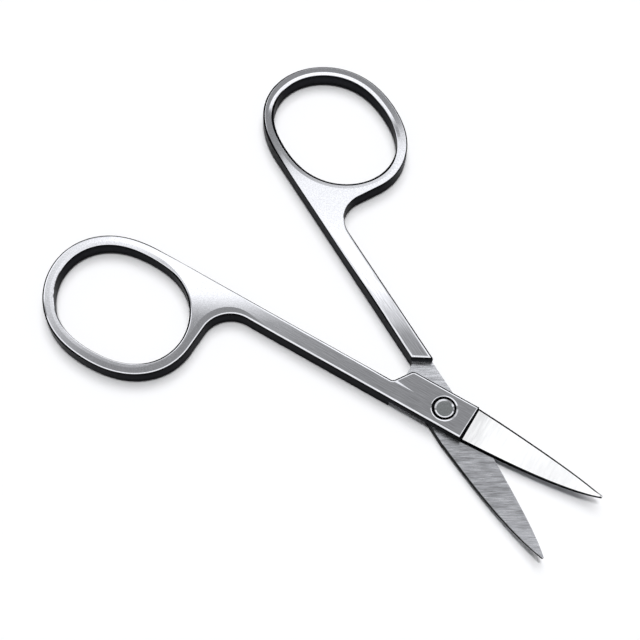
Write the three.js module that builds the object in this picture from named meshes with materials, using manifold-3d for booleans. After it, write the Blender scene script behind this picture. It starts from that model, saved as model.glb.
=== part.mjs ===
// Curved eyebrow scissors: two steel halves that turn on one flush rivet, lying open on their side.
// Millimetres, +Z up. The origin is on the pivot axis, at the surface that the scissors lie on.
// +X runs from the pivot along the closing line to the tips, and the finger rings are at -X.

import * as THREE from 'three';
import { mergeVertices } from 'three/addons/utils/BufferGeometryUtils.js';
import Module from 'manifold-3d';

const wasm = await Module();
wasm.setup();

// Whole object
const OPENING = THREE.MathUtils.degToRad(28.75);
const THICKNESS = 2.9;
const CHAMFER_WIDTH = 0.3;
const CHAMFER_HEIGHT = 0.22;
const LAP_GAP = 0.04;

// Shank and pivot plate of one half: u runs from the pivot to the ring, v from the closing line outwards
const SHANK_INNER = 0.125;
const SHANK_OUTER = 2.93;
const PLATE_INNER = -2.9;
const PLATE_END = -4.45;
const UPPER_SHOULDER_U = 8.72;
const LOWER_SHOULDER_U = 8.95;
const LAP_STEP_U = 9.46;
const SHOULDER_ANGLE = THREE.MathUtils.degToRad(58);
const SHOULDER_OUTER_ROUND = 1.0;
const SHOULDER_INNER_ROUND = 0.7;

// Finger ring: a tilted oval hole inside a band of even width
const RING_U = 50.65;
const RING_MEAN_RADIUS = 10.1;
const RING_OVAL = 1.13;
const RING_TILT = THREE.MathUtils.degToRad(7.2);
const RING_SQUARENESS = 0.11;
const RING_SQUARE_TILT = THREE.MathUtils.degToRad(30);
const RING_BAND = 1.81;
const RING_FILLET = 4.7;

// Blade: leaf-shaped in plan, bent upwards in a long arc, thinner than the plate and thinnest at its edge
const BLADE_TIP = -26.36;
const BLADE_TIP_V = 0.09;
const BLADE_TIP_WIDTH = 0.24;
const SPINE_ROOT_INSET = 0.12;
const EDGE_ROOT_INSET = 0.05;
const SPINE_BULGE_U = -19.6;
const SPINE_BULGE_V = -2.0;
const EDGE_BULGE_U = -21.4;
const EDGE_BULGE_V = 2.02;
const SPINE_ROOT_THICKNESS = 1.08;
const SPINE_TIP_THICKNESS = 0.42;
const EDGE_ROOT_THICKNESS = 0.62;
const EDGE_TIP_THICKNESS = 0.3;
const EDGE_BEVEL = 0.14;
const SPINE_CHAMFER = 0.15;
const BEND_START = 11.5;
const BEND_RADIUS = 104;
const ROOT_OVERLAP = 1.5;
const ROOT_TUCK = 0.4;
const ROOT_TUCK_UP = 0.15;

// Rivet: flush head in a counterbore of the upper half, lower head set in the lower half
const RIVET_SHAFT_RADIUS = 1.0;
const RIVET_HEAD_RADIUS = 1.54;
const RIVET_HEAD_CHAMFER = 0.2;
const RIVET_HEAD_DEPTH = 0.76;
const COUNTERBORE_RADIUS = 1.83;
const LOWER_HEAD_RADIUS = 1.6;
const LOWER_HEAD_DEPTH = 0.6;
const TURNING_CLEARANCE = 0.03;
const SET_CLEARANCE = 0.02;
const CUT_MARGIN = 1;

// Fineness of the curves
const RING_STEPS = 84;
const FILLET_STEPS = 10;
const CORNER_STEPS = 5;
const BLADE_STEPS = 22;
const ROUND_STEPS = 48;
const SEARCH_STEPS = 1440;

const MIDDLE = THICKNESS / 2;

// Solids from geometry and back

function solid(geometry) {
  const bare = geometry.clone();
  bare.deleteAttribute('normal');
  bare.deleteAttribute('uv');
  const merged = mergeVertices(bare, 1e-5);
  const vertProperties = new Float32Array(merged.attributes.position.array);
  const triVerts = new Uint32Array(merged.index.array);
  return new wasm.Manifold(new wasm.Mesh({ numProp: 3, vertProperties, triVerts }));
}

function geometryOf(body) {
  const mesh = body.getMesh();
  const geometry = new THREE.BufferGeometry();
  geometry.setAttribute('position', new THREE.BufferAttribute(new Float32Array(mesh.vertProperties), 3));
  geometry.setIndex(new THREE.BufferAttribute(new Uint32Array(mesh.triVerts), 1));
  geometry.computeVertexNormals();
  return geometry;
}

function roundBar(radiusLow, radiusHigh, zLow, zHigh) {
  const geometry = new THREE.CylinderGeometry(radiusHigh, radiusLow, zHigh - zLow, ROUND_STEPS);
  geometry.rotateX(Math.PI / 2);
  geometry.translate(0, 0, (zLow + zHigh) / 2);
  return solid(geometry);
}

// Plan outline of one half without its blade, in u and v

function ringRadius(angle) {
  const oval = RING_OVAL * Math.cos(2 * (angle + RING_TILT));
  const square = RING_SQUARENESS * Math.cos(4 * (angle + RING_SQUARE_TILT));
  return RING_MEAN_RADIUS + oval + square;
}

// The ring's outer edge runs into the shank's straight inner edge, so its lowest point lies on that line.
// Its point nearest to the pivot is where the neck starts that leads square into the shank's outer edge.
const FINE_ANGLES = Array.from({ length: SEARCH_STEPS }, (_, i) => (i * 2 * Math.PI) / SEARCH_STEPS);
const outerDrop = (angle) => -(ringRadius(angle) + RING_BAND) * Math.sin(angle);
const LOWEST_ANGLE = FINE_ANGLES.reduce((best, angle) => (outerDrop(angle) > outerDrop(best) ? angle : best));
const outerReach = (angle) => -(ringRadius(angle) + RING_BAND) * Math.cos(angle);
const NECK_ANGLE = FINE_ANGLES.reduce((best, angle) => (outerReach(angle) > outerReach(best) ? angle : best));
const RING_V = SHANK_INNER + outerDrop(LOWEST_ANGLE);

function ringPoint(angle, band) {
  const radius = ringRadius(angle) + band;
  return [RING_U + radius * Math.cos(angle), RING_V + radius * Math.sin(angle)];
}

function arc(centre, radius, from, to, steps) {
  return Array.from({ length: steps + 1 }, (_, i) => {
    const angle = from + ((to - from) * i) / steps;
    return [centre[0] + radius * Math.cos(angle), centre[1] + radius * Math.sin(angle)];
  });
}

// A corner between two straight edges, rounded to a radius
function roundedCorner(before, corner, after, radius) {
  const a = new THREE.Vector2(before[0] - corner[0], before[1] - corner[1]).normalize();
  const b = new THREE.Vector2(after[0] - corner[0], after[1] - corner[1]).normalize();
  const half = Math.acos(THREE.MathUtils.clamp(a.dot(b), -1, 1)) / 2;
  const middle = a.clone().add(b).normalize().multiplyScalar(radius / Math.sin(half));
  const centre = [corner[0] + middle.x, corner[1] + middle.y];
  const reach = radius / Math.tan(half);
  const from = Math.atan2(corner[1] + a.y * reach - centre[1], corner[0] + a.x * reach - centre[0]);
  let to = Math.atan2(corner[1] + b.y * reach - centre[1], corner[0] + b.x * reach - centre[0]);
  if (to - from > Math.PI) to -= 2 * Math.PI;
  if (from - to > Math.PI) to += 2 * Math.PI;
  return arc(centre, radius, from, to, CORNER_STEPS);
}

function outline(shoulder) {
  const neck = NECK_ANGLE < LOWEST_ANGLE ? NECK_ANGLE + 2 * Math.PI : NECK_ANGLE;
  const points = [];
  for (let i = 0; i <= RING_STEPS; i += 1) {
    points.push(ringPoint(LOWEST_ANGLE + ((neck - LOWEST_ANGLE) * i) / RING_STEPS, RING_BAND));
  }
  const fillet = [RING_U - outerReach(NECK_ANGLE) - RING_FILLET, SHANK_OUTER + RING_FILLET];
  points.push(...arc(fillet, RING_FILLET, 0, -Math.PI / 2, FILLET_STEPS));
  const drop = SHANK_INNER - PLATE_INNER;
  const inner = [shoulder, SHANK_INNER];
  const outer = [shoulder - drop / Math.tan(SHOULDER_ANGLE), PLATE_INNER];
  points.push([PLATE_END, SHANK_OUTER]);
  points.push([PLATE_END, PLATE_INNER]);
  points.push(...roundedCorner([PLATE_END, PLATE_INNER], outer, inner, SHOULDER_OUTER_ROUND));
  points.push(...roundedCorner(outer, inner, [RING_U, SHANK_INNER], SHOULDER_INNER_ROUND));
  return points;
}

// One half: side is +1 where the ring lies to +Y, up is +1 where the pivot plate is the top layer

// Plan points placed on that side, always counter-clockwise
function placed(points, side) {
  const list = points.map(([u, v]) => new THREE.Vector2(-u, side * v));
  return side > 0 ? list.reverse() : list;
}

function handleAndPlate(side, up) {
  const shoulder = up > 0 ? UPPER_SHOULDER_U : LOWER_SHOULDER_U;
  const shape = new THREE.Shape(placed(outline(shoulder), side));
  const hole = Array.from({ length: RING_STEPS }, (_, i) => ringPoint((i * 2 * Math.PI) / RING_STEPS, 0));
  shape.holes.push(new THREE.Path(placed(hole, side)));
  const plate = new THREE.ExtrudeGeometry(shape, {
    depth: THICKNESS - 2 * CHAMFER_HEIGHT,
    bevelThickness: CHAMFER_HEIGHT,
    bevelSize: CHAMFER_WIDTH,
    bevelOffset: -CHAMFER_WIDTH,
    bevelSegments: 1,
  });
  plate.translate(0, 0, CHAMFER_HEIGHT);

  // The lap: half of the thickness is cut away from a slanting step to the end of the plate
  const along = (s) => [
    LAP_STEP_U - s * Math.cos(SHOULDER_ANGLE),
    SHANK_INNER + s * Math.sin(SHOULDER_ANGLE),
  ];
  const reach = 4 * SHANK_OUTER;
  const area = [along(-reach), along(reach), [2 * PLATE_END, 2 * reach], [2 * PLATE_END, -2 * reach]];
  const lap = new THREE.ExtrudeGeometry(new THREE.Shape(placed(area, side)), {
    depth: THICKNESS,
    bevelEnabled: false,
  });
  const lapHeight = up > 0 ? MIDDLE + LAP_GAP / 2 - THICKNESS : MIDDLE - LAP_GAP / 2;
  lap.translate(0, 0, lapHeight);
  return solid(plate).subtract(solid(lap));
}

// Height of the meeting faces above the lap: it depends only on the distance from the pivot,
// so the two blades slide past each other at every angle
function lift(u, v) {
  const past = Math.max(0, Math.hypot(u, v) - BEND_START);
  return BEND_RADIUS - Math.sqrt(BEND_RADIUS * BEND_RADIUS - past * past);
}

function blade(side, up) {
  const curve = (rootV, bulgeU, bulgeV, tipV) =>
    new THREE.QuadraticBezierCurve(
      new THREE.Vector2(PLATE_END, rootV),
      new THREE.Vector2(bulgeU, bulgeV),
      new THREE.Vector2(BLADE_TIP, tipV),
    );
  const spineRoot = PLATE_INNER + SPINE_ROOT_INSET;
  const edgeRoot = SHANK_OUTER - EDGE_ROOT_INSET;
  const spine = curve(spineRoot, SPINE_BULGE_U, SPINE_BULGE_V, BLADE_TIP_V - BLADE_TIP_WIDTH / 2);
  const edge = curve(edgeRoot, EDGE_BULGE_U, EDGE_BULGE_V, BLADE_TIP_V + BLADE_TIP_WIDTH / 2);
  const positions = [];
  const addSection = (s, e, thickSpine, thickEdge, raise) => {
    const across = new THREE.Vector2().subVectors(e, s);
    const width = across.length();
    across.normalize();
    const bevel = Math.min(EDGE_BEVEL, 0.4 * width);
    const chamfer = Math.min(SPINE_CHAMFER, 0.3 * width, 0.4 * thickSpine);
    const corners = [
      [s, 0, 0],
      [e, 0, 0],
      [e, -bevel, thickEdge],
      [s, chamfer, thickSpine],
      [s, 0, thickSpine - chamfer],
    ];
    for (const [point, shift, height] of corners) {
      const u = point.x + across.x * shift;
      const v = point.y + across.y * shift;
      const face = MIDDLE + (up * LAP_GAP) / 2 + lift(point.x, point.y);
      positions.push(-u, side * v, face + up * (raise + height));
    }
  };

  // The first section is a smaller copy inside the plate, so that the blade joins it solidly
  const rootIn = new THREE.Vector2(ROOT_OVERLAP, 0);
  const tuck = new THREE.Vector2(0, ROOT_TUCK);
  const tucked = EDGE_ROOT_THICKNESS / 2;
  const spineIn = spine.getPoint(0).add(rootIn).add(tuck);
  const edgeIn = edge.getPoint(0).add(rootIn).sub(tuck);
  addSection(spineIn, edgeIn, tucked, tucked, ROOT_TUCK_UP);
  for (let i = 0; i <= BLADE_STEPS; i += 1) {
    const t = i / BLADE_STEPS;
    const thickSpine = THREE.MathUtils.lerp(SPINE_ROOT_THICKNESS, SPINE_TIP_THICKNESS, t);
    const thickEdge = THREE.MathUtils.lerp(EDGE_ROOT_THICKNESS, EDGE_TIP_THICKNESS, t);
    addSection(spine.getPoint(t), edge.getPoint(t), thickSpine, thickEdge, 0);
  }
  const sections = BLADE_STEPS + 2;
  const corners = positions.length / 3 / sections;
  const index = [];
  for (let i = 0; i < sections - 1; i += 1) {
    for (let j = 0; j < corners; j += 1) {
      const a = i * corners + j;
      const b = i * corners + ((j + 1) % corners);
      index.push(a, a + corners, b + corners);
      index.push(a, b + corners, b);
    }
  }
  const end = (sections - 1) * corners;
  for (let j = 1; j < corners - 1; j += 1) {
    index.push(0, j, j + 1);
    index.push(end, end + j + 1, end + j);
  }
  const geometry = new THREE.BufferGeometry();
  geometry.setAttribute('position', new THREE.Float32BufferAttribute(positions, 3));
  geometry.setIndex(index);
  return solid(geometry);
}

function half(side, up, cuts) {
  let body = handleAndPlate(side, up).add(blade(side, up));
  for (const cut of cuts) body = body.subtract(cut);
  return geometryOf(body);
}

// Pivot holes and the rivet

const headSeat = THICKNESS - RIVET_HEAD_DEPTH;
const headRim = THICKNESS - RIVET_HEAD_CHAMFER;
const turningRadius = RIVET_SHAFT_RADIUS + TURNING_CLEARANCE;
const setRadius = RIVET_SHAFT_RADIUS + SET_CLEARANCE;
const pocketRadius = LOWER_HEAD_RADIUS + SET_CLEARANCE;
const upperCuts = [
  roundBar(turningRadius, turningRadius, -CUT_MARGIN, THICKNESS + CUT_MARGIN),
  roundBar(COUNTERBORE_RADIUS, COUNTERBORE_RADIUS, headSeat - LAP_GAP, THICKNESS + CUT_MARGIN),
];
const lowerCuts = [
  roundBar(setRadius, setRadius, -CUT_MARGIN, THICKNESS + CUT_MARGIN),
  roundBar(pocketRadius, pocketRadius, -CUT_MARGIN, LOWER_HEAD_DEPTH + SET_CLEARANCE),
];
const rivetBody = roundBar(LOWER_HEAD_RADIUS, LOWER_HEAD_RADIUS, 0, LOWER_HEAD_DEPTH)
  .add(roundBar(RIVET_SHAFT_RADIUS, RIVET_SHAFT_RADIUS, LOWER_HEAD_DEPTH / 2, headRim))
  .add(roundBar(RIVET_HEAD_RADIUS, RIVET_HEAD_RADIUS, headSeat, headRim))
  .add(roundBar(RIVET_HEAD_RADIUS, RIVET_HEAD_RADIUS - RIVET_HEAD_CHAMFER, headRim, THICKNESS));

// The assembly: each half is turned from the closing line by half of the opening

const steel = { color: 0xb4b7ba, roughness: 0.34, metalness: 1 };

const upperHalf = new THREE.Mesh(half(-1, 1, upperCuts), new THREE.MeshStandardMaterial(steel));
upperHalf.name = 'upper_half';

const lowerHalf = new THREE.Mesh(half(1, -1, lowerCuts), new THREE.MeshStandardMaterial(steel));
lowerHalf.name = 'lower_half';

const rivet = new THREE.Mesh(
  geometryOf(rivetBody),
  new THREE.MeshStandardMaterial({ color: 0x8e9396, roughness: 0.42, metalness: 1 }),
);
rivet.name = 'pivot_rivet';

const turning = new THREE.Group();
turning.rotation.z = OPENING / 2;
turning.add(upperHalf);

const fixed = new THREE.Group();
fixed.rotation.z = -OPENING / 2;
fixed.add(lowerHalf, rivet);

const scissors = new THREE.Group();
scissors.add(fixed, turning);

export default scissors;
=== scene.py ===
import math

import bpy
import numpy as np
from mathutils import Euler, Matrix, Vector, geometry


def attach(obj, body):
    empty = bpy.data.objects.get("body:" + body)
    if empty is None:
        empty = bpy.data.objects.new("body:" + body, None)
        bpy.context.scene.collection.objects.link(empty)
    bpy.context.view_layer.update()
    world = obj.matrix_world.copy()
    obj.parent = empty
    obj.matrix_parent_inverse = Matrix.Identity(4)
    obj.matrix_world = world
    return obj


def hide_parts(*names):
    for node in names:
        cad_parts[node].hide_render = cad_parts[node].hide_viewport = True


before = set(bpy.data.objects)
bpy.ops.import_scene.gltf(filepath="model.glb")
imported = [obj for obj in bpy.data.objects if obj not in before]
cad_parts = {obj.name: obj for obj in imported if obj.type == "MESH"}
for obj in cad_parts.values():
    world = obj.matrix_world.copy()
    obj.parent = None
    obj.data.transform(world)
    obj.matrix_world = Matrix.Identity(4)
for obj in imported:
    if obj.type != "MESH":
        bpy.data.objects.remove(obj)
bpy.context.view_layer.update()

# Sizes in millimetres, mostly the same as in the construction
MM = 0.001
OPENING = math.radians(28.75)
THICKNESS = 2.9
MIDDLE = THICKNESS / 2
LAP_GAP = 0.04
CUT_MARGIN = 1

# Shank and pivot plate of one half: u runs from the pivot to the ring, v from the closing line outwards
SHANK_INNER = 0.125
SHANK_OUTER = 2.93
PLATE_INNER = -2.9
PLATE_END = -4.45
UPPER_SHOULDER_U = 8.72
LOWER_SHOULDER_U = 8.95
LAP_STEP_U = 9.46
LAP_CUT_REACH = 14
LAP_CUT_LENGTH = 45
SHOULDER_ANGLE = math.radians(58)
SHOULDER_OUTER_ROUND = 1.0
SHOULDER_INNER_ROUND = 0.7

# Finger ring: a tilted oval hole inside a band of even width
RING_U = 50.65
RING_MEAN_RADIUS = 10.1
RING_OVAL = 1.13
RING_TILT = math.radians(7.2)
RING_SQUARENESS = 0.11
RING_SQUARE_TILT = math.radians(30)
RING_BAND = 1.81
RING_FILLET = 4.7

# Blade: a spine and an edge that curve in plan, bent upwards in a long arc
SPINE_ROOT_INSET = 0.04
EDGE_ROOT_INSET = 0.05
BLADE_TIP = -26.36
BLADE_TIP_V = 0.09
BLADE_TIP_WIDTH = 0.24
SPINE_ROOT = (PLATE_END, PLATE_INNER + SPINE_ROOT_INSET)
SPINE_BULGE = (-19.6, -2.0)
SPINE_TIP = (BLADE_TIP, BLADE_TIP_V - BLADE_TIP_WIDTH / 2)
EDGE_ROOT = (PLATE_END, SHANK_OUTER - EDGE_ROOT_INSET)
EDGE_BULGE = (-21.4, 2.02)
EDGE_TIP = (BLADE_TIP, BLADE_TIP_V + BLADE_TIP_WIDTH / 2)
SPINE_ROOT_THICKNESS = 1.08
SPINE_TIP_THICKNESS = 0.42
EDGE_ROOT_THICKNESS = 0.62
EDGE_TIP_THICKNESS = 0.3
EDGE_BEVEL = 0.26
EDGE_TIP_BEVEL = 0.12
EDGE_BEVEL_MOST = 0.4
BEND_START = 11.5
BEND_RADIUS = 104

# Root of the blade: the part inside the plate, and the fillet up to the plate's end
ROOT_OVERLAP = 1.5
ROOT_TUCK_UP = 0.15
ROOT_WIDTH_SHARE = 0.85
ROOT_HEIGHT_SHARE = 0.4
ROOT_FILLET_SHARE = 0.5
ROOT_FILLET_LEAST = 0.24
# Steps of the fillet nearest the plate's end take the near-black colour, a painted shade in the corner
ROOT_PAINTED_SHADE_STEPS = 3

# Dark lines along the blade's spine, painted near-black like the sides as a dark reflection, with the
# largest shares of the width and thickness that they take
SPINE_LINE = 0.32
SPINE_LINE_DROP = 0.16
SPINE_LINE_MOST_WIDTH = 0.3
SPINE_LINE_MOST_THICKNESS = 0.65
INNER_SPINE_WIDTH = 0.06
INNER_SPINE_DROP = 0.05
INNER_SPINE_MOST = 0.2
SPINE_CORNER_END = 5.0
SPINE_CORNER_SIDE_MARGIN = 0.2
SPINE_CORNER_END_MARGIN = 0.1

# Rivet and the holes for it; the rims that show sit a little off the axis
RIVET_SHAFT_RADIUS = 1.0
RIVET_HEAD_RADIUS = 1.54
RIVET_HEAD_STEEP = 0.06
RIVET_HEAD_BEVEL = 0.245
RIVET_BEVEL_DROP = 0.072
RIVET_HEAD_DEPTH = 0.76
RIVET_HEAD_SHIFT = (-0.05, 0.05)
RIVET_FACE_SHIFT = (-0.118, -0.016)
COUNTERBORE_RADIUS = 1.83
COUNTERBORE_SHALLOW = 0.18
COUNTERBORE_STEEP = 0.06
COUNTERBORE_SHIFT = (-0.086, 0.02)
LOWER_HEAD_RADIUS = 1.6
LOWER_HEAD_DEPTH = 0.6
TURNING_CLEARANCE = 0.03
SET_CLEARANCE = 0.02

# Edges finished by hand: a steep chamfer painted near-black like the sides as a dark reflection, a bright
# shallow one and, in places, a broad facet
STEEP_TILT = math.radians(30)
STEEP_WIDTH = 0.08
SHALLOW_TILT = math.radians(18)
SHALLOW_WIDTH = 0.24
PLAIN_FACET_WIDTH = 0.1
PLATE_EDGE_DROP = STEEP_WIDTH * math.tan(STEEP_TILT) + SHALLOW_WIDTH * math.tan(SHALLOW_TILT)
UNDER_WIDTH = 0.22
UNDER_DROP = 0.14
RING_UNDER_DROP = 0.38

# Edge widths that differ; a span holds the u where a share starts to rise and the u where it is full
LINE_TOLERANCE = 0.01
PLATE_END_STEEP = 0.28
PLATE_CORNER_STEEP = 0.15
PLATE_END_SHALLOW = 0.1
PLATE_INNER_STEEP = 0.22
PLATE_INNER_SHALLOW = 0.17
PAST_PLATE_SPAN = (9.5, 13)
UPPER_INNER_STEEP = 0.125
UPPER_INNER_SPAN = (48, 40)
LOWER_INNER_STEEP = 0.21
LOWER_INNER_U = 20
LOWER_INNER_REACH = 6
LOWER_OUTER_STEEP = 0.22
LOWER_OUTER_SPAN = (36, 30)
ON_RING_SPAN = (30, 38)
UPPER_RING_SHALLOW = 0.16
LOWER_RING_SHALLOW = 0.05
RING_END_STEEP = 0.22
RING_END_SPAN = (46, 54)
LOWER_RING_STEEP = 0.3
LOWER_RING_FAR_SPAN = (37, 43)
LOWER_RING_SIDE_REACH = 4

# Facet in the fillet between the upper half's shank and ring; the last span is in v
FILLET_STEEP = 0.15
FILLET_FACET_WIDTH = 0.95
FILLET_FACET_TILT = math.radians(3.0)
FILLET_FACET_TILT_SPAN = (0.05, 0.6)
FILLET_FACET_U = 37
FILLET_FACET_REACH = 5
FILLET_FACET_SPAN = (17, 12)

# Edges of the finger holes: each differing stretch faces one side, and its span is in cosines from there
HOLE_STEEP_WIDTH = 0.07
HOLE_SHALLOW_WIDTH = 0.1
HOLE_FACET_WIDTH = 0.5
UPPER_HOLE_TILT = math.radians(1.1)
UPPER_NECK_STEEP = 0.26
UPPER_NECK_SIDE = math.radians(195)
UPPER_NECK_SPAN = (0.4, 0.8)
LOWER_LINE_STEEP = 0.45
LOWER_LINE_SHALLOW = 0.02
LOWER_LINE_SIDE = math.radians(238)
LOWER_LINE_SPAN = (-0.35, 0.35)
LOWER_FACET_SIDE = math.radians(33)
LOWER_FAR_TILT = math.radians(3.5)
LOWER_FAR_SPAN = (-0.2, 0.35)
LOWER_NEAR_TILT = math.radians(0.8)
LOWER_NEAR_SPAN = (-0.1, -0.8)

# Crease that runs from the upper half's shoulder into the plate
CREASE_START_U = 9.2
CREASE_END_U = 4.0
CREASE_WIDTH = 0.5
CREASE_OUTER_WIDTH = 0.15
CREASE_DEPTH = 0.08
CREASE_MARGIN = 0.02

# Fineness of the curves; the blade's root steps are shares of its length
SEARCH_STEPS = 1440
RING_STEPS = 220
HOLE_STEPS = 240
FILLET_STEPS = 28
CORNER_STEPS = 10
STRAIGHT_SPACING = 1.2
BLADE_ROOT_STEPS = (0, 0.0015, 0.003, 0.006, 0.01, 0.015, 0.022)
BLADE_START = 0.03
BLADE_STEPS = 56
ACROSS_STEPS = 10
ROUND_STEPS = 96

# Settings for filling the flat faces and for shading
FILL_INSIDE = 1
FILL_MERGE = 1e-7
LEVEL_COSINE = math.cos(math.radians(0.25))
SHARP_ANGLE = math.radians(10)
AREA_WEIGHT = 100

# Material slots; WALL is a near-black colour on the sides, dark lines and chamfers, a painted dark
# reflection
SATIN, WALL, GROUND, POLISHED, RIVET = range(5)


def smooth(start, full, x):
    """Share that rises smoothly from 0 at the start to 1 where it is full."""
    t = np.clip((x - start) / (full - start), 0, 1)
    return t * t * (3 - 2 * t)


def bell(centre, reach, x):
    return np.exp(-(((x - centre) / reach) ** 2))


# Plan outline of one half


def ring_radius(angle):
    oval = RING_OVAL * np.cos(2 * (angle + RING_TILT))
    square = RING_SQUARENESS * np.cos(4 * (angle + RING_SQUARE_TILT))
    return RING_MEAN_RADIUS + oval + square


SEARCH = np.linspace(0, 2 * math.pi, SEARCH_STEPS, endpoint=False)
SEARCH_RADIUS = ring_radius(SEARCH) + RING_BAND
LOWEST_ANGLE = SEARCH[np.argmax(-SEARCH_RADIUS * np.sin(SEARCH))]
NECK_ANGLE = SEARCH[np.argmax(-SEARCH_RADIUS * np.cos(SEARCH))]
NECK_REACH = np.max(-SEARCH_RADIUS * np.cos(SEARCH))
RING_V = SHANK_INNER + np.max(-SEARCH_RADIUS * np.sin(SEARCH))


def ring_points(angles, band):
    radius = ring_radius(angles) + band
    return np.stack([RING_U + radius * np.cos(angles), RING_V + radius * np.sin(angles)], 1)


def arc(centre, radius, start, end, steps):
    angles = np.linspace(start, end, steps + 1)
    return np.stack([centre[0] + radius * np.cos(angles), centre[1] + radius * np.sin(angles)], 1)


def rounded_corner(before, corner, after, radius):
    before, corner, after = (np.array(p, float) for p in (before, corner, after))
    a = (before - corner) / np.linalg.norm(before - corner)
    b = (after - corner) / np.linalg.norm(after - corner)
    half_angle = math.acos(np.clip(a @ b, -1, 1)) / 2
    centre = corner + (a + b) / np.linalg.norm(a + b) * radius / math.sin(half_angle)
    reach = radius / math.tan(half_angle)
    start = corner + a * reach - centre
    end = corner + b * reach - centre
    first = math.atan2(start[1], start[0])
    last = math.atan2(end[1], end[0])
    last = first + (last - first + math.pi) % (2 * math.pi) - math.pi
    return arc(centre, radius, first, last, CORNER_STEPS)


def straight(start, end):
    """Points between two ends, without the ends."""
    start, end = np.array(start, float), np.array(end, float)
    count = max(2, int(np.linalg.norm(end - start) / STRAIGHT_SPACING))
    return start + (end - start) * (np.arange(1, count) / count)[:, None]


def half_outline(shoulder):
    neck = NECK_ANGLE if NECK_ANGLE > LOWEST_ANGLE else NECK_ANGLE + 2 * math.pi
    ring = ring_points(np.linspace(LOWEST_ANGLE, neck, RING_STEPS + 1), RING_BAND)
    fillet_centre = (RING_U - NECK_REACH - RING_FILLET, SHANK_OUTER + RING_FILLET)
    fillet = arc(fillet_centre, RING_FILLET, 0, -math.pi / 2, FILLET_STEPS)
    drop = SHANK_INNER - PLATE_INNER
    inner = (shoulder, SHANK_INNER)
    outer = (shoulder - drop / math.tan(SHOULDER_ANGLE), PLATE_INNER)
    ends = np.array([(PLATE_END, SHANK_OUTER), (PLATE_END, PLATE_INNER)])
    outer_round = rounded_corner(ends[1], outer, inner, SHOULDER_OUTER_ROUND)
    inner_round = rounded_corner(outer, inner, (RING_U, SHANK_INNER), SHOULDER_INNER_ROUND)
    stretches = [
        ring,
        straight(ring[-1], fillet[0]),
        fillet,
        straight(fillet[-1], ends[0]),
        ends[:1],
        straight(ends[0], ends[1]),
        ends[1:],
        straight(ends[1], outer_round[0]),
        outer_round,
        inner_round,
        straight(inner_round[-1], ring[0]),
    ]
    return np.concatenate(stretches)


def inward(loop):
    """Offset directions into the material, which lies to the left of the loop."""
    ahead = np.roll(loop, -1, 0) - loop
    ahead /= np.linalg.norm(ahead, axis=1)[:, None]
    normal = np.stack([-ahead[:, 1], ahead[:, 0]], 1)
    both = normal + np.roll(normal, 1, 0)
    both /= np.linalg.norm(both, axis=1)[:, None]
    return both / np.sum(both * normal, 1)[:, None]


# Solids as lists of points and faces


class Solid:
    def __init__(self):
        self.points = []
        self.faces = []
        self.slots = []

    def add_points(self, points):
        start = len(self.points)
        self.points.extend(tuple(map(float, p)) for p in points)
        return start

    def add_face(self, corners, slot):
        self.faces.append(tuple(corners))
        self.slots.append(slot)

    def strip(self, low, high, count, slot):
        """Quads between two closed loops of equal length."""
        for i in range(count):
            j = (i + 1) % count
            self.add_face((low + i, low + j, high + j, high + i), slot)

    def skin(self, sections, slot_of):
        """Faces along closed sections of equal length, and a face at either end."""
        count = len(sections[0])
        starts = [self.add_points(section) for section in sections]
        for k, (a, b) in enumerate(zip(starts, starts[1:])):
            for i in range(count):
                j = (i + 1) % count
                self.add_face((a + i, b + i, b + j, a + j), slot_of(k, i))
        # The end faces take the near-black colour, a painted dark reflection
        self.add_face(range(starts[0], starts[0] + count), WALL)
        self.add_face(range(starts[-1] + count - 1, starts[-1] - 1, -1), WALL)

    def make(self, name, materials):
        points = np.array(self.points)
        volume = 0.0
        for face in self.faces:
            for k in range(1, len(face) - 1):
                a, b, c = points[face[0]], points[face[k]], points[face[k + 1]]
                volume += np.dot(a, np.cross(b, c))
        if volume < 0:
            self.faces = [tuple(reversed(face)) for face in self.faces]
        mesh = bpy.data.meshes.new(name)
        mesh.from_pydata(self.points, [], self.faces)
        for material in materials:
            mesh.materials.append(material)
        mesh.polygons.foreach_set("material_index", self.slots)
        mesh.update()
        piece = bpy.data.objects.new(name, mesh)
        bpy.context.scene.collection.objects.link(piece)
        return piece


def fill_between(outer, hole):
    """Triangles, counter-clockwise, between an outline and a hole in it."""
    points = [Vector(p) for p in np.concatenate([outer, hole])]
    n, m = len(outer), len(hole)
    edges = [(i, (i + 1) % n) for i in range(n)] + [(n + i, n + (i + 1) % m) for i in range(m)]
    filled = geometry.delaunay_2d_cdt(points, edges, [], FILL_INSIDE, FILL_MERGE)
    verts, _, faces, sources, _, _ = filled
    centre = hole.mean(0)
    angles = np.arctan2(hole[:, 1] - centre[1], hole[:, 0] - centre[0])
    order = np.argsort(angles)
    radii = np.linalg.norm(hole - centre, axis=1)
    triangles = []
    for face in faces:
        middle = np.mean([verts[k] for k in face], 0) - centre
        angle = math.atan2(middle[1], middle[0])
        reach = np.interp(angle, angles[order], radii[order], period=2 * math.pi)
        if np.linalg.norm(middle) > reach:
            triangles.append([sources[k][0] for k in face])
    return triangles


# Handle: ring, shank and plate in one


def edge_loops(steep, shallow, facet_width, facet_tilt):
    """Inset and drop of each loop from the side wall to the level face."""
    facet_drop = np.tan(facet_tilt) * facet_width
    shallow_drop = facet_drop + math.tan(SHALLOW_TILT) * shallow
    steep_drop = shallow_drop + math.tan(STEEP_TILT) * steep
    return [
        (0 * steep, steep_drop),
        (steep, shallow_drop),
        (steep + shallow, facet_drop),
        (steep + shallow + facet_width, 0 * facet_drop),
    ]


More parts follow.
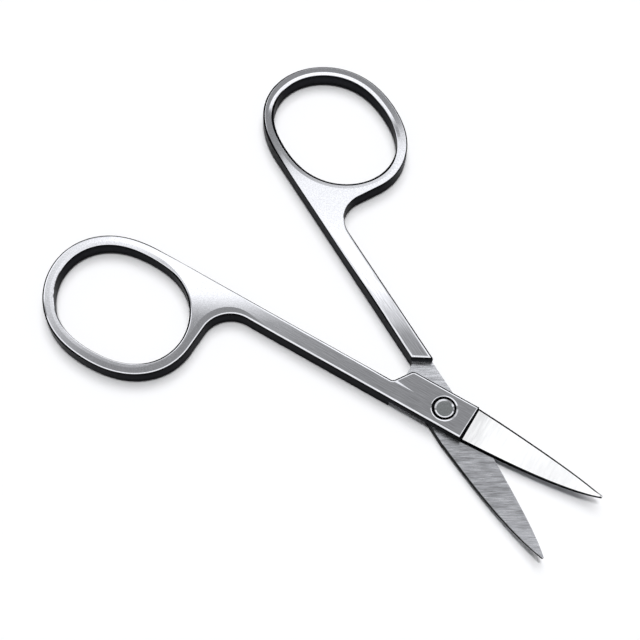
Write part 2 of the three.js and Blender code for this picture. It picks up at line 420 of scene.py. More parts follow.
def outline_edge(outline, up):
    """Loops of the handle's outer edge on the side that faces up; insets along u and along v."""
    u, v = outline.T
    on_inner = v < SHANK_INNER + LINE_TOLERANCE
    on_outer = v > SHANK_OUTER - LINE_TOLERANCE
    ring_end = smooth(*RING_END_SPAN, u)
    ring_shallow = UPPER_RING_SHALLOW if up > 0 else LOWER_RING_SHALLOW
    near_fillet = np.zeros(len(outline))
    steep = np.full(len(outline), STEEP_WIDTH)
    shallow = SHALLOW_WIDTH + (ring_shallow - SHALLOW_WIDTH) * smooth(*ON_RING_SPAN, u)
    if up > 0:
        past_plate = smooth(*PAST_PLATE_SPAN, u)
        plate_inner = on_inner * (1 - past_plate)
        shank_inner = on_inner * past_plate * smooth(*UPPER_INNER_SPAN, u)
        near_fillet = on_outer * bell(FILLET_FACET_U, FILLET_FACET_REACH, u)
        near_fillet *= smooth(*FILLET_FACET_SPAN, v)
        steep += (PLATE_INNER_STEEP - STEEP_WIDTH) * plate_inner
        steep += (UPPER_INNER_STEEP - STEEP_WIDTH) * shank_inner
        steep += (FILLET_STEEP - STEEP_WIDTH) * near_fillet
        steep += (RING_END_STEEP - STEEP_WIDTH) * ring_end
        shallow += (PLATE_INNER_SHALLOW - SHALLOW_WIDTH) * plate_inner
    else:
        shank_inner = on_inner * bell(LOWER_INNER_U, LOWER_INNER_REACH, u)
        shank_outer = on_outer * smooth(*LOWER_OUTER_SPAN, u)
        near_side = smooth(RING_V + LOWER_RING_SIDE_REACH, RING_V - LOWER_RING_SIDE_REACH, v)
        ring_end = ring_end * near_side + smooth(*LOWER_RING_FAR_SPAN, u) * (1 - near_side)
        ring_steep = RING_END_STEEP + (LOWER_RING_STEEP - RING_END_STEEP) * near_side
        steep += (LOWER_INNER_STEEP - STEEP_WIDTH) * shank_inner
        steep += (LOWER_OUTER_STEEP - STEEP_WIDTH) * shank_outer
        steep += (ring_steep - STEEP_WIDTH) * ring_end
    facet_width = PLAIN_FACET_WIDTH + (FILLET_FACET_WIDTH - PLAIN_FACET_WIDTH) * near_fillet
    facet_tilt = FILLET_FACET_TILT * smooth(*FILLET_FACET_TILT_SPAN, near_fillet)
    # The plate's end has its own widths, and at its corners they count along u and the sides' along v
    at_end = u < PLATE_END + LINE_TOLERANCE
    toward_outer = smooth(PLATE_INNER, SHANK_OUTER, v)
    end_steep = PLATE_CORNER_STEEP + (PLATE_END_STEEP - PLATE_CORNER_STEEP) * toward_outer
    end_steep = np.where(at_end, end_steep, steep)
    end_shallow = np.where(at_end, PLATE_END_SHALLOW, shallow)
    ends = edge_loops(end_steep, end_shallow, facet_width, facet_tilt)
    sides = edge_loops(steep, shallow, facet_width, facet_tilt)
    return [(np.stack([a, b], 1), drop) for (a, drop), (b, _) in zip(ends, sides)]


def hole_edge(angles, up):
    """Loops of the finger hole's edge on the side that faces up."""
    shallow = np.full(len(angles), HOLE_SHALLOW_WIDTH)
    facet_width = np.full(len(angles), HOLE_FACET_WIDTH)
    if up > 0:
        at_neck = smooth(*UPPER_NECK_SPAN, np.cos(angles - UPPER_NECK_SIDE))
        steep = HOLE_STEEP_WIDTH + (UPPER_NECK_STEEP - HOLE_STEEP_WIDTH) * at_neck
        facet_width += (PLAIN_FACET_WIDTH - HOLE_FACET_WIDTH) * at_neck
        facet_tilt = np.full(len(angles), UPPER_HOLE_TILT)
    else:
        at_line = smooth(*LOWER_LINE_SPAN, np.cos(angles - LOWER_LINE_SIDE))
        facing = np.cos(angles - LOWER_FACET_SIDE)
        steep = HOLE_STEEP_WIDTH + (LOWER_LINE_STEEP - HOLE_STEEP_WIDTH) * at_line
        shallow += (LOWER_LINE_SHALLOW - HOLE_SHALLOW_WIDTH) * at_line
        facet_tilt = LOWER_FAR_TILT * smooth(*LOWER_FAR_SPAN, facing)
        facet_tilt += LOWER_NEAR_TILT * smooth(*LOWER_NEAR_SPAN, facing)
    return edge_loops(steep, shallow, facet_width, facet_tilt)


def under_edge(drop):
    """Loops of an edge on the side that lies on the floor."""
    return [(0 * drop, drop), (np.full(len(drop), UNDER_WIDTH), 0 * drop)]


def handle_solid(up):
    outline = half_outline(UPPER_SHOULDER_U if up > 0 else LOWER_SHOULDER_U)
    angles = np.linspace(2 * math.pi, 0, HOLE_STEPS, endpoint=False)
    hole = ring_points(angles, 0)
    outline_drop = UNDER_DROP + (RING_UNDER_DROP - UNDER_DROP) * smooth(*ON_RING_SPAN, outline[:, 0])
    hole_drop = np.full(len(hole), RING_UNDER_DROP)
    solid = Solid()
    ends = []
    for loop, top, bottom in (
        (outline, outline_edge(outline, up), under_edge(outline_drop)),
        (hole, hole_edge(angles, up), under_edge(hole_drop)),
    ):
        direction = inward(loop)
        low, high = (bottom, top) if up > 0 else (top, bottom)
        rows = []
        for side, rounds in ((-1, reversed(low)), (1, high)):
            for inset, drop in rounds:
                flat = loop + direction * inset.reshape(len(loop), -1)
                rows.append(np.column_stack([flat, side * (MIDDLE - drop)]))
        starts = [solid.add_points(row) for row in rows]
        wall = len(low) - 1
        for k in range(len(rows) - 1):
            # The sides and the chamfers next to them take the near-black colour, a painted dark reflection
            slot = WALL if abs(k - wall) <= 1 else SATIN
            solid.strip(starts[k], starts[k + 1], len(loop), slot)
        ends.append(((starts[0], rows[0][:, :2]), (starts[-1], rows[-1][:, :2])))
    count = len(outline)
    for side in (0, 1):
        (start_out, flat_out), (start_hole, flat_hole) = ends[0][side], ends[1][side]
        for triangle in fill_between(flat_out, flat_hole):
            corners = [start_out + k if k < count else start_hole + k - count for k in triangle]
            solid.add_face(corners if side else reversed(corners), SATIN)
    return solid


def lap_cutter():
    """Takes away the inner half of the thickness on the pivot's side of the slanting step."""
    along = np.array([-math.cos(SHOULDER_ANGLE), math.sin(SHOULDER_ANGLE)])
    across = np.array([-math.sin(SHOULDER_ANGLE), -math.cos(SHOULDER_ANGLE)])
    start = np.array([LAP_STEP_U, SHANK_INNER])
    below = -MIDDLE - CUT_MARGIN
    profile = [(-STEEP_WIDTH - SHALLOW_WIDTH, below, SATIN)]
    edge = edge_loops(STEEP_WIDTH, SHALLOW_WIDTH, 0.0, 0.0)[:3]
    # The step's face and its steep chamfer take the near-black colour, a painted dark reflection
    for (inset, drop), slot in zip(reversed(edge), (SATIN, WALL, WALL)):
        profile.append((-inset, -MIDDLE + drop, slot))
    profile.append((0, LAP_GAP / 2, GROUND))
    profile.append((LAP_CUT_LENGTH, LAP_GAP / 2, WALL))
    profile.append((LAP_CUT_LENGTH, below, WALL))
    sections = []
    for reach in (-LAP_CUT_REACH, LAP_CUT_REACH):
        flat = [start + along * reach + across * offset for offset, _, _ in profile]
        sections.append([(*point, height) for point, (_, height, _) in zip(flat, profile)])
    solid = Solid()
    solid.skin(sections, lambda k, i: profile[i][2])
    return solid


def spine_cutter():
    """Takes the corner off the inner face along the side where the blade's spine runs on, in the near-black
    colour, a painted dark reflection.
    """
    low = LAP_GAP / 2
    margin = SPINE_CORNER_SIDE_MARGIN
    section = [
        (PLATE_INNER - margin, low - margin),
        (PLATE_INNER + INNER_SPINE_WIDTH + margin, low - margin),
        (PLATE_INNER + INNER_SPINE_WIDTH, low),
        (PLATE_INNER, low + INNER_SPINE_DROP),
        (PLATE_INNER - margin, low + INNER_SPINE_DROP),
    ]
    ends = (PLATE_END - SPINE_CORNER_END_MARGIN, SPINE_CORNER_END)
    solid = Solid()
    solid.skin([[(u, v, height) for v, height in section] for u in ends], lambda k, i: WALL)
    return solid


def crease_cutter():
    """A shallow groove that runs from the shoulder's inner corner into the plate and dies out."""
    v = SHANK_INNER
    above = MIDDLE + CREASE_MARGIN
    solid = Solid()
    solid.add_points([
        (CREASE_START_U, v - CREASE_WIDTH, above),
        (CREASE_START_U, v + CREASE_OUTER_WIDTH, above),
        (CREASE_START_U, v, MIDDLE - CREASE_DEPTH),
        (CREASE_END_U, v, above),
    ])
    for corners in ((0, 1, 2), (0, 3, 1), (1, 3, 2), (2, 3, 0)):
        solid.add_face(corners, SATIN)
    return solid


# Blade


def bezier(root, bulge, tip, t):
    a, b, c = (np.array(p, float) for p in (root, bulge, tip))
    return a * (1 - t) ** 2 + b * 2 * t * (1 - t) + c * t * t


def lift(u, v):
    """Rise of the bent blade, which depends only on the distance from the pivot."""
    past = max(0.0, math.hypot(u, v) - BEND_START)
    return BEND_RADIUS - math.sqrt(BEND_RADIUS**2 - past**2)


def root_fillet(distance, height):
    """Rise of the fillet on the blade's back, at a distance from the plate's end."""
    rim = MIDDLE - PLATE_EDGE_DROP - LAP_GAP / 2 - height
    radius = max(ROOT_FILLET_LEAST, ROOT_FILLET_SHARE * rim)
    if distance >= radius:
        return 0.0
    return radius - math.sqrt(radius**2 - (radius - distance) ** 2)


def blade_section(t, up):
    """Corners of a cut across the blade: u, v, height and the slot of the face that follows."""
    spine = bezier(SPINE_ROOT, SPINE_BULGE, SPINE_TIP, t)
    edge = bezier(EDGE_ROOT, EDGE_BULGE, EDGE_TIP, t)
    thick_spine = SPINE_ROOT_THICKNESS + (SPINE_TIP_THICKNESS - SPINE_ROOT_THICKNESS) * t
    thick_edge = EDGE_ROOT_THICKNESS + (EDGE_TIP_THICKNESS - EDGE_ROOT_THICKNESS) * t
    width = np.linalg.norm(edge - spine)
    inner_width = min(INNER_SPINE_WIDTH, INNER_SPINE_MOST * width)
    inner_drop = min(INNER_SPINE_DROP, INNER_SPINE_MOST * thick_spine)
    bevel_width = min(EDGE_BEVEL + (EDGE_TIP_BEVEL - EDGE_BEVEL) * t, EDGE_BEVEL_MOST * width)
    line_width = min(SPINE_LINE, SPINE_LINE_MOST_WIDTH * width, SPINE_LINE_MOST_THICKNESS * thick_spine)
    line_drop = min(SPINE_LINE_DROP, line_width / 2)
    inner = inner_width / width
    bevel = 1 - bevel_width / width
    line = line_width / width
    corners = []

    def put(share, height, slot):
        flat = spine + (edge - spine) * share
        face = LAP_GAP / 2 + up * lift(*flat)
        corners.append((flat[0], flat[1], face + height, slot))

    # The spine's side, the line along it, the inner chamfer and the cutting edge's bevel take the
    # near-black colour, a painted dark reflection
    put(0, inner_drop, WALL)
    for k in range(ACROSS_STEPS):
        put(inner + (1 - inner) * k / ACROSS_STEPS, 0, GROUND)
    put(1, 0, WALL)
    for k in range(ACROSS_STEPS):
        share = bevel + (line - bevel) * k / ACROSS_STEPS
        height = thick_spine + (thick_edge - thick_spine) * (share - line) / (bevel - line)
        distance = PLATE_END - (spine + (edge - spine) * share)[0]
        put(share, height + root_fillet(distance, height), POLISHED)
    put(line, thick_spine, WALL)
    put(0, thick_spine - line_drop, WALL)
    return corners


def blade_solid(up):
    steps = list(BLADE_ROOT_STEPS) + list(np.linspace(BLADE_START, 1, BLADE_STEPS))
    sections = [blade_section(t, up) for t in steps]
    first = sections[0]
    centre = np.mean([corner[:3] for corner in first], 0)
    inside = []
    for _, v, height, slot in first:
        inside_v = centre[1] + (v - centre[1]) * ROOT_WIDTH_SHARE
        inside_height = LAP_GAP / 2 + ROOT_TUCK_UP + (height - LAP_GAP / 2) * ROOT_HEIGHT_SHARE
        inside.append((centre[0] + ROOT_OVERLAP, inside_v, inside_height, slot))

    # The fillet's first steps are painted near-black as shade in the corner at the plate's end
    def slot_of(k, i):
        slot = first[i][3]
        return WALL if slot == POLISHED and k <= ROOT_PAINTED_SHADE_STEPS else slot

    solid = Solid()
    solid.skin([[corner[:3] for corner in section] for section in [inside] + sections], slot_of)
    return solid


# Round forms about the pivot


def lathe(profile, shifts):
    """Solid from radius, height and slot of each ring; shifts moves some of the rings off the axis."""
    solid = Solid()
    rings = []
    angles = np.arange(ROUND_STEPS) * 2 * math.pi / ROUND_STEPS
    for k, (radius, height, _) in enumerate(profile):
        if radius == 0:
            rings.append([solid.add_points([(0, 0, height)])])
        else:
            x, y = shifts.get(k, (0, 0))
            circle = [(x + radius * math.cos(a), y + radius * math.sin(a), height) for a in angles]
            start = solid.add_points(circle)
            rings.append(list(range(start, start + ROUND_STEPS)))
    for low, high, (_, _, slot) in zip(rings, rings[1:], profile):
        for i in range(ROUND_STEPS):
            j = (i + 1) % ROUND_STEPS
            if len(low) == 1:
                solid.add_face((low[0], high[j], high[i]), slot)
            elif len(high) == 1:
                solid.add_face((low[i], low[j], high[0]), slot)
            else:
                solid.add_face((low[i], low[j], high[j], high[i]), slot)
    return solid


def pivot_cutter(up):
    far = MIDDLE + CUT_MARGIN
    if up > 0:
        bore = RIVET_SHAFT_RADIUS + TURNING_CLEARANCE
        wide = COUNTERBORE_RADIUS
        seat = MIDDLE - RIVET_HEAD_DEPTH - LAP_GAP
    else:
        bore = RIVET_SHAFT_RADIUS + SET_CLEARANCE
        wide = LOWER_HEAD_RADIUS + SET_CLEARANCE
        seat = MIDDLE - LOWER_HEAD_DEPTH - SET_CLEARANCE
    # The cut faces take the near-black colour, a painted dark reflection, except the counterbore's shallow
    # chamfer
    profile = [(0, -far, WALL), (bore, -far, WALL), (bore, seat, WALL), (wide, seat, WALL)]
    shifts = {}
    if up > 0:
        shallow_drop = COUNTERBORE_SHALLOW * math.tan(SHALLOW_TILT)
        steep_drop = shallow_drop + COUNTERBORE_STEEP * math.tan(STEEP_TILT)
        profile.append((wide, MIDDLE - steep_drop, WALL))
        profile.append((wide + COUNTERBORE_STEEP, MIDDLE - shallow_drop, SATIN))
        wide += COUNTERBORE_STEEP + COUNTERBORE_SHALLOW
        rim = len(profile)
        profile.append((wide, MIDDLE, WALL))
        shifts = {rim: COUNTERBORE_SHIFT, rim + 1: COUNTERBORE_SHIFT}
    profile.append((wide, far, WALL))
    profile.append((0, far, WALL))
    return lathe(profile, shifts)


def rivet_solid():
    seat = MIDDLE - RIVET_HEAD_DEPTH
    lower_seat = -MIDDLE + LOWER_HEAD_DEPTH
    bevel = MIDDLE - RIVET_BEVEL_DROP
    profile = [
        (0, -MIDDLE, RIVET),
        (LOWER_HEAD_RADIUS, -MIDDLE, RIVET),
        (LOWER_HEAD_RADIUS, lower_seat, RIVET),
        (RIVET_SHAFT_RADIUS, lower_seat, RIVET),
        (RIVET_SHAFT_RADIUS, seat, RIVET),
        # The head's side and steep chamfer take the near-black colour, a painted dark reflection in the
        # groove
        (RIVET_HEAD_RADIUS, seat, WALL),
        (RIVET_HEAD_RADIUS, bevel - RIVET_HEAD_STEEP, WALL),
        # The head's bevel takes the brighter satin colour: its own reflection, brightened by a painted
        # highlight
        (RIVET_HEAD_RADIUS - RIVET_HEAD_STEEP, bevel, SATIN),
        (RIVET_HEAD_RADIUS - RIVET_HEAD_STEEP - RIVET_HEAD_BEVEL, MIDDLE, RIVET),
        (0, MIDDLE, RIVET),
    ]
    face = len(profile) - 2
    shifts = {face - 2: RIVET_HEAD_SHIFT, face - 1: RIVET_HEAD_SHIFT, face: RIVET_FACE_SHIFT}
    return lathe(profile, shifts)


# From solids to finished pieces


def boolean(piece, tool, operation):
    change = piece.modifiers.new("change", "BOOLEAN")
    change.object = tool
    change.operation = operation
    change.solver = "MANIFOLD"
    change.material_mode = "INDEX"
    depsgraph = bpy.context.evaluated_depsgraph_get()
    mesh = bpy.data.meshes.new_from_object(piece.evaluated_get(depsgraph))
    piece.modifiers.clear()
    piece.data = mesh
    bpy.data.objects.remove(tool)


def sharpen_flat_borders(mesh):
    """Edges between a level face and a tilted one are sharp, so that the level face reflects as a plane."""
    normals = np.zeros(len(mesh.polygons) * 3)
    mesh.polygons.foreach_get("normal", normals)
    level = np.abs(normals[2::3]) > LEVEL_COSINE
    sizes = np.zeros(len(mesh.polygons), int)
    mesh.polygons.foreach_get("loop_total", sizes)
    edges = np.zeros(len(mesh.loops), int)
    mesh.loops.foreach_get("edge_index", edges)
    level_sides = np.bincount(edges, np.repeat(level, sizes), len(mesh.edges))
    sharp = np.zeros(len(mesh.edges), bool)
    mesh.edges.foreach_get("use_edge_sharp", sharp)
    mesh.edges.foreach_set("use_edge_sharp", sharp | (level_sides == 1))


def place(piece, side, up, turn):
    """From u, v and height over the middle plane to the frame in metres; the attribute plan keeps them."""
    mesh = piece.data
    local = np.zeros(len(mesh.vertices) * 3)
    mesh.vertices.foreach_get("co", local)
    local = local.reshape(-1, 3)
    plan = mesh.attributes.new("plan", "FLOAT_VECTOR", "POINT")
    plan.data.foreach_set("vector", local.astype(np.float32).ravel())
    x, y = -local[:, 0], side * local[:, 1]
    c, s = math.cos(turn), math.sin(turn)
    world = np.stack([x * c - y * s, x * s + y * c, MIDDLE + up * local[:, 2]], 1) * MM
    mesh.vertices.foreach_set("co", world.astype(np.float32).ravel())
    mesh.polygons.foreach_set("use_smooth", np.ones(len(mesh.polygons), bool))
    mesh.update()
    mesh.set_sharp_from_angle(angle=SHARP_ANGLE)
    sharpen_flat_borders(mesh)
    weighted = piece.modifiers.new("flat faces stay flat", "WEIGHTED_NORMAL")
    weighted.keep_sharp = True
    weighted.weight = AREA_WEIGHT


# Materials: the part of a noise's range that changes the roughness, and of a shade's range the colour
NOISE_SPAN = (0.3, 0.7)
TINT_SPAN = (0.25, 0.75)


class Nodes:
    """A short way to write node trees."""

    def __init__(self, tree):
        self.tree = tree

    def add(self, kind, settings=None, inputs=None):
        node = self.tree.nodes.new(kind)
        for key, value in (settings or {}).items():
            setattr(node, key, value)
        for key, value in (inputs or {}).items():
            if isinstance(value, bpy.types.NodeSocket):
                self.tree.links.new(value, node.inputs[key])
            else:
                node.inputs[key].default_value = value
        return node

    def math(self, operation, a, b=0.0):
        return self.add("ShaderNodeMath", {"operation": operation}, {0: a, 1: b}).outputs[0]

    def dot(self, a, b):
        return self.add("ShaderNodeVectorMath", {"operation": "DOT_PRODUCT"}, {0: a, 1: b}).outputs["Value"]

    def stretch(self, x, y, scales):
        """Coordinates for a grain that runs longer one way than the other."""
        parts = {0: self.math("MULTIPLY", x, scales[0]), 1: self.math("MULTIPLY", y, scales[1])}
        return self.add("ShaderNodeCombineXYZ", None, parts).outputs[0]

    def noise(self, vector, scale, detail, roughness):
        inputs = {"Vector": vector, "Scale": scale, "Detail": detail, "Roughness": roughness}
        return self.add("ShaderNodeTexNoise", None, inputs).outputs["Fac"]

    def remap(self, value, span, result):
        inputs = {0: value, 1: span[0], 2: span[1], 3: result[0], 4: result[1]}
        return self.add("ShaderNodeMapRange", None, inputs).outputs[0]


class Steel(Nodes):
    """A metal whose grain follows the attribute plan: u, v and height."""

    def __init__(self, name):
        self.material = bpy.data.materials.new(name)
        self.material.use_nodes = True
        super().__init__(self.material.node_tree)
        self.shader = self.tree.nodes["Principled BSDF"]
        self.shader.inputs["Metallic"].default_value = 1.0
        self.plan = self.add("ShaderNodeAttribute", {"attribute_name": "plan"}).outputs["Vector"]

    def axes(self):
        return self.add("ShaderNodeSeparateXYZ", None, {0: self.plan}).outputs

    def paint(self, color, tint, shade):
        """The colour, made darker or lighter by a shade from 0 to 1."""
        inputs = {0: color, "Scale": self.remap(shade, TINT_SPAN, tint)}
        scaled = self.add("ShaderNodeVectorMath", {"operation": "SCALE"}, inputs)
        self.tree.links.new(scaled.outputs[0], self.shader.inputs["Base Color"])

    def roughen(self, roughness, grain):
        self.tree.links.new(self.remap(grain, NOISE_SPAN, roughness), self.shader.inputs["Roughness"])

    def emboss(self, strength, depth, grain):
        bump = self.add("ShaderNodeBump", None, {"Strength": strength, "Distance": depth, "Height": grain})
        self.tree.links.new(bump.outputs[0], self.shader.inputs["Normal"])


def satin_steel():
    """The flat tops: streaks along the shanks and speckles on the rings."""
    color = (0.73, 0.74, 0.78)
    tint = (0.82, 1.16)
    roughness = (0.015, 0.035)
    streak_scales = (0.35, 7.0)
    streak_span, streak_range = (0.35, 0.65), (0.15, 0.85)
    speckle_scale = 5.0
    detail, fineness = 4.0, 0.7
    ring_span, ring_shares = (24.0, 37.0), (0.25, 1.0)
    bump_strength, bump_depth = 0.012, 0.02 * MM
    steel = Steel("satin steel")
    u, v, _ = steel.axes()
    streak = steel.noise(steel.stretch(u, v, streak_scales), 1.0, detail, fineness)
    streak = steel.remap(streak, streak_span, streak_range)
    speckle = steel.noise(steel.plan, speckle_scale, detail, fineness)
    on_ring = steel.remap(u, ring_span, ring_shares)
    grain = steel.add("ShaderNodeMix", None, {0: on_ring, 2: streak, 3: speckle}).outputs[0]
    steel.paint(color, tint, grain)
    steel.roughen(roughness, grain)
    steel.emboss(bump_strength, bump_depth, grain)
    return steel.material


def sides_painted_dark():
    """The sides: a near-black colour that is a painted dark reflection, with a painted lighter band at half
    height and painted darker still on the blades.
    """
    # Near-black colour and grey edge tint: a painted dark reflection
    color = (0.0145, 0.015, 0.017)
    edge_color = (0.5, 0.5, 0.5, 1)
    tint = (0.3, 1.6)
    roughness = (0.25, 0.4)
    speckle_scale, detail, fineness = 2.0, 3.0, 0.6
    speckle_share = 0.4
    height_span, height_shades = (0.4, 1.3), (0.45, 0.05)
    blade_span, blade_shares = (-6.0, 0.0), (0.2, 1.0)
    steel = Steel("sides painted dark")
    u, _, height = steel.axes()
    speckle = steel.noise(steel.plan, speckle_scale, detail, fineness)
    # Painted reflection: a lighter band at half height
    painted_band_by_height = steel.remap(steel.math("ABSOLUTE", height), height_span, height_shades)
    shade = steel.math("ADD", steel.math("MULTIPLY", speckle, speckle_share), painted_band_by_height)
    # Painted darker still on the blades
    shade = steel.math("MULTIPLY", shade, steel.remap(u, blade_span, blade_shares))
    steel.paint(color, tint, shade)
    steel.roughen(roughness, speckle)
    steel.shader.inputs["Specular Tint"].default_value = edge_color
    return steel.material


def ground_steel():
    """The meeting faces, with slanting grinding marks, and a painted light that makes the tang lighter than
    the blade.
    """
    color = (0.588, 0.599, 0.635)
    tint = (0.35, 1.55)
    roughness = (0.2, 0.3)
    grain_turn = math.radians(60.6)
    wide_scales, wide_share = (0.22, 1.6), 0.5
    fine_scales, fine_share = (0.5, 7.0), 0.5
    detail, fineness = 3.0, 0.6
    tang_span, tang_painted_light = (-6.0, 4.0), (-0.045, 0.12)
    bump_strength, bump_depth = 0.3, 0.03 * MM
    steel = Steel("ground steel")
    u, v, _ = steel.axes()
    c, s = math.cos(grain_turn), math.sin(grain_turn)
    along = steel.math("ADD", steel.math("MULTIPLY", u, -c), steel.math("MULTIPLY", v, s))
    across = steel.math("ADD", steel.math("MULTIPLY", u, s), steel.math("MULTIPLY", v, c))
    wide = steel.noise(steel.stretch(along, across, wide_scales), 1.0, detail, fineness)
    fine = steel.noise(steel.stretch(along, across, fine_scales), 1.0, detail, fineness)
    wide = steel.math("MULTIPLY", wide, wide_share)
    fine = steel.math("MULTIPLY", fine, fine_share)
    grain = steel.math("ADD", wide, fine)
    # Painted light: the tang lighter than the blade
    shade = steel.math("ADD", grain, steel.remap(u, tang_span, tang_painted_light))
    steel.paint(color, tint, shade)
    steel.roughen(roughness, grain)
    steel.emboss(bump_strength, bump_depth, grain)
    return steel.material


def polished_steel():
    """The blades' outer faces, with faint streaks near the root that also darken it there, a painted shade
    by the plate's end.
    """
    color = (0.935, 0.943, 0.958)
    tint = (0.82, 1.05)
    roughness = (0.12, 0.2)
    streak_scales = (2.2, 0.3)
    detail, fineness = 3.0, 0.5
    root_span, root_shares = (-8.0, -4.6), (0.0, 1.0)
    plain_shade = 0.6
    steel = Steel("polished steel")
    u, v, _ = steel.axes()
    streak = steel.noise(steel.stretch(u, v, streak_scales), 1.0, detail, fineness)
    root_streaks_and_shade = steel.remap(u, root_span, root_shares)
    # Near the root the streaks are grain and also a painted shade
    shade = steel.math("SUBTRACT", plain_shade, steel.math("MULTIPLY", streak, root_streaks_and_shade))
    steel.paint(color, tint, shade)
    steel.roughen(roughness, streak)
    return steel.material


def rivet_steel():
    color = (0.44, 0.465, 0.475)
    tint = (0.9, 1.08)
    roughness = (0.1, 0.16)
    speckle_scale, detail, fineness = 6.0, 4.0, 0.6
    steel = Steel("rivet steel")
    speckle = steel.noise(steel.plan, speckle_scale, detail, fineness)
    steel.paint(color, tint, speckle)
    steel.roughen(roughness, speckle)
    return steel.material


materials = [satin_steel(), sides_painted_dark(), ground_steel(), polished_steel(), rivet_steel()]

# The two halves and the rivet


def half(name, side, up, turn, body):
    piece = handle_solid(up).make(name, materials)
    boolean(piece, lap_cutter().make("lap", materials), "DIFFERENCE")
    boolean(piece, spine_cutter().make("spine corner", materials), "DIFFERENCE")
    boolean(piece, blade_solid(up).make("blade", materials), "UNION")
    if up > 0:
        boolean(piece, crease_cutter().make("crease", materials), "DIFFERENCE")
    boolean(piece, pivot_cutter(up).make("bore", materials), "DIFFERENCE")
    place(piece, side, up, turn)
    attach(piece, body)
    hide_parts(name.replace("_finished", ""))


def rivet():
    piece = rivet_solid().make("pivot_rivet_finished", materials)
    place(piece, 1, 1, 0.0)
    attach(piece, "lower")
    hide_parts("pivot_rivet")


half("upper_half_finished", -1, 1, OPENING / 2, "upper")
half("lower_half_finished", 1, -1, -OPENING / 2, "lower")
rivet()

# Camera, fitted to the photograph: tilt, roll and heading, place, and a lens in millimetres
CAMERA_TURN = Euler((math.radians(25.545), math.radians(-1.533), math.radians(45.448)))
CAMERA_PLACE = Vector((38.718, -71.197, 194.850)) * MM
CAMERA_LENS = 78.085
CAMERA_SENSOR = 36
CAMERA_NEAR = 5 * MM
PHOTO_SIZE = 640
HALF_PIXEL = 0.5 / PHOTO_SIZE


def camera():
    lens = bpy.data.cameras.new("camera")
    lens.lens = CAMERA_LENS
    lens.sensor_width = CAMERA_SENSOR
    lens.clip_start = CAMERA_NEAR
    lens.shift_x = -HALF_PIXEL
    lens.shift_y = HALF_PIXEL
    eye = bpy.data.objects.new("camera", lens)
    eye.matrix_world = Matrix.Translation(CAMERA_PLACE) @ CAMERA_TURN.to_matrix().to_4x4()
    bpy.context.scene.collection.objects.link(eye)
    bpy.context.scene.camera = eye


camera()

# Floor, a hair below the scissors
FLOOR_REACH = 4000 * MM
FLOOR_DROP = 0.02 * MM
FLOOR_COLOR = (0.921, 0.925, 0.943, 1)


def floor():
    signs = ((-1, -1), (1, -1), (1, 1), (-1, 1))
    corners = [(x * FLOOR_REACH, y * FLOOR_REACH, -FLOOR_DROP) for x, y in signs]
    mesh = bpy.data.meshes.new("floor")
    mesh.from_pydata(corners, [], [(0, 1, 2, 3)])
    material = bpy.data.materials.new("pale floor")
    material.use_nodes = True
    shader = material.node_tree.nodes["Principled BSDF"]
    shader.inputs["Base Color"].default_value = FLOOR_COLOR
    shader.inputs["Roughness"].default_value = 0.9
    shader.inputs["Specular IOR Level"].default_value = 0.1
    mesh.materials.append(material)
    piece = bpy.data.objects.new("floor", mesh)
    bpy.context.scene.collection.objects.link(piece)


floor()

# Studio light by angle from the far horizon over the top to the camera's side: degrees and radiance
WORLD_LEVEL = 1.6
HALF_TURN = 180
LIGHT = (
    (0, 1.35),
    (43, 1.35),
    (48, 0.33),
    (56.2, 0.33),
    (57.1, 0.46),
    (57.9, 1.25),
    (60.0, 1.3),
    (61.5, 1.5),
    (63.2, 1.42),
    (63.74, 1.28),
    (63.9, 1.1),
    (64.03, 0.81),
    (64.13, 0.59),
    (64.22, 0.5),
    (64.4, 0.48),
    (65.6, 0.38),
    (67.0, 0.34),
    (73.0, 0.33),
    (75.6, 1.17),
    (121, 1.17),
    (130, 0.4),
    (180, 0.4),
)

# Slant of the bands of light: change of angle for a direction to the side, over a span of angles
RING_BAND_TILT = 0.23
RING_BAND_SPAN = (math.radians(58.5), math.radians(60.5))
FAR_BAND_TILT = 0.1
NEAR_BAND_TILT = -0.005
SHANK_BAND_SPAN = (math.radians(63.45), math.radians(64.25))

# Even light at the left, at both sides and near the horizon, with the directions where it comes in
LEFT_LEVEL = 0.83
LEFT_SPAN = (-0.15, -0.2)
LEFT_ANGLE_SPAN = (67.2 / HALF_TURN, 64.6 / HALF_TURN)
SIDE_LEVEL = 1.4
SIDE_SPAN = (0.38, 0.5)
SIDE_ANGLE_SPAN = (62 / HALF_TURN, 56 / HALF_TURN)
HORIZON_LEVEL = 1.0
HORIZON_SPAN = (math.sin(math.radians(25)), math.sin(math.radians(12)))

# Soft lamps for the floor: height from the far horizon and spread in degrees, share of a white floor
LAMPS = (
    ("key", 66, 38, 0.5),
    ("overhead", 91, 12, 0.51),
    ("fill", 86, 150, 0.08),
)


def grey(level):
    return (level / WORLD_LEVEL,) * 3 + (1,)


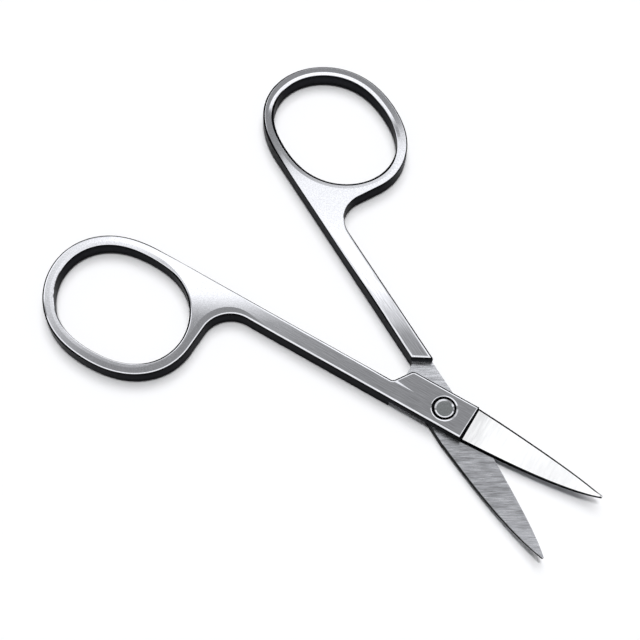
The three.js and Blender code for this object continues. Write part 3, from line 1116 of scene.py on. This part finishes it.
def studio(away):
    """Light that the steel mirrors and the background shows; it doesn't light the floor."""
    rising = (0.0, 1.0)
    world = bpy.data.worlds.new("studio")
    bpy.context.scene.world = world
    world.use_nodes = True
    nodes = Nodes(world.node_tree)
    direction = nodes.add("ShaderNodeTexCoord").outputs["Generated"]
    height = nodes.add("ShaderNodeSeparateXYZ", None, {0: direction}).outputs[2]
    lateral = nodes.dot(direction, Vector((away.y, -away.x, 0)))
    level_angle = nodes.math("ARCTAN2", height, nodes.dot(direction, away))
    shank_tilt = nodes.remap(level_angle, SHANK_BAND_SPAN, (FAR_BAND_TILT, NEAR_BAND_TILT))
    ring_tilt = nodes.remap(level_angle, RING_BAND_SPAN, (RING_BAND_TILT, 0.0))
    tilt = nodes.math("ADD", shank_tilt, ring_tilt)
    angle = nodes.math("ADD", level_angle, nodes.math("MULTIPLY", lateral, tilt))
    turn = nodes.math("DIVIDE", angle, math.pi)
    ramp = nodes.add("ShaderNodeValToRGB", None, {0: turn})
    stops = ramp.color_ramp.elements
    given = len(stops)
    for k, (degrees, level) in enumerate(LIGHT):
        stop = stops[k] if k < given else stops.new(degrees / HALF_TURN)
        stop.position = degrees / HALF_TURN
        stop.color = grey(level)
    left = nodes.remap(lateral, LEFT_SPAN, rising)
    left = nodes.math("MULTIPLY", left, nodes.remap(turn, LEFT_ANGLE_SPAN, rising))
    sides = nodes.remap(nodes.math("ABSOLUTE", lateral), SIDE_SPAN, rising)
    sides = nodes.math("MULTIPLY", sides, nodes.remap(turn, SIDE_ANGLE_SPAN, rising))
    horizon = nodes.remap(height, HORIZON_SPAN, rising)
    color = ramp.outputs[0]
    for share, level in ((left, LEFT_LEVEL), (sides, SIDE_LEVEL), (horizon, HORIZON_LEVEL)):
        inputs = {0: share, 6: color, 7: grey(level)}
        color = nodes.add("ShaderNodeMix", {"data_type": "RGBA"}, inputs).outputs[2]
    background = world.node_tree.nodes["Background"]
    world.node_tree.links.new(color, background.inputs["Color"])
    background.inputs["Strength"].default_value = WORLD_LEVEL
    world.cycles_visibility.diffuse = False


def lamps(away):
    """Light for the floor and its shadows; the steel doesn't mirror it."""
    for name, height, spread, share in LAMPS:
        rise = math.sin(math.radians(height))
        lamp = bpy.data.lights.new(name, "SUN")
        lamp.energy = math.pi * share / rise
        lamp.angle = math.radians(spread)
        piece = bpy.data.objects.new(name, lamp)
        toward = away * math.cos(math.radians(height)) + Vector((0, 0, rise))
        piece.rotation_euler = toward.to_track_quat("Z", "Y").to_euler()
        piece.visible_glossy = False
        bpy.context.scene.collection.objects.link(piece)


camera_back = CAMERA_TURN.to_matrix().col[2]
away_from_camera = Vector((-camera_back.x, -camera_back.y, 0)).normalized()
studio(away_from_camera)
lamps(away_from_camera)

bpy.context.scene.view_settings.view_transform = "Standard"
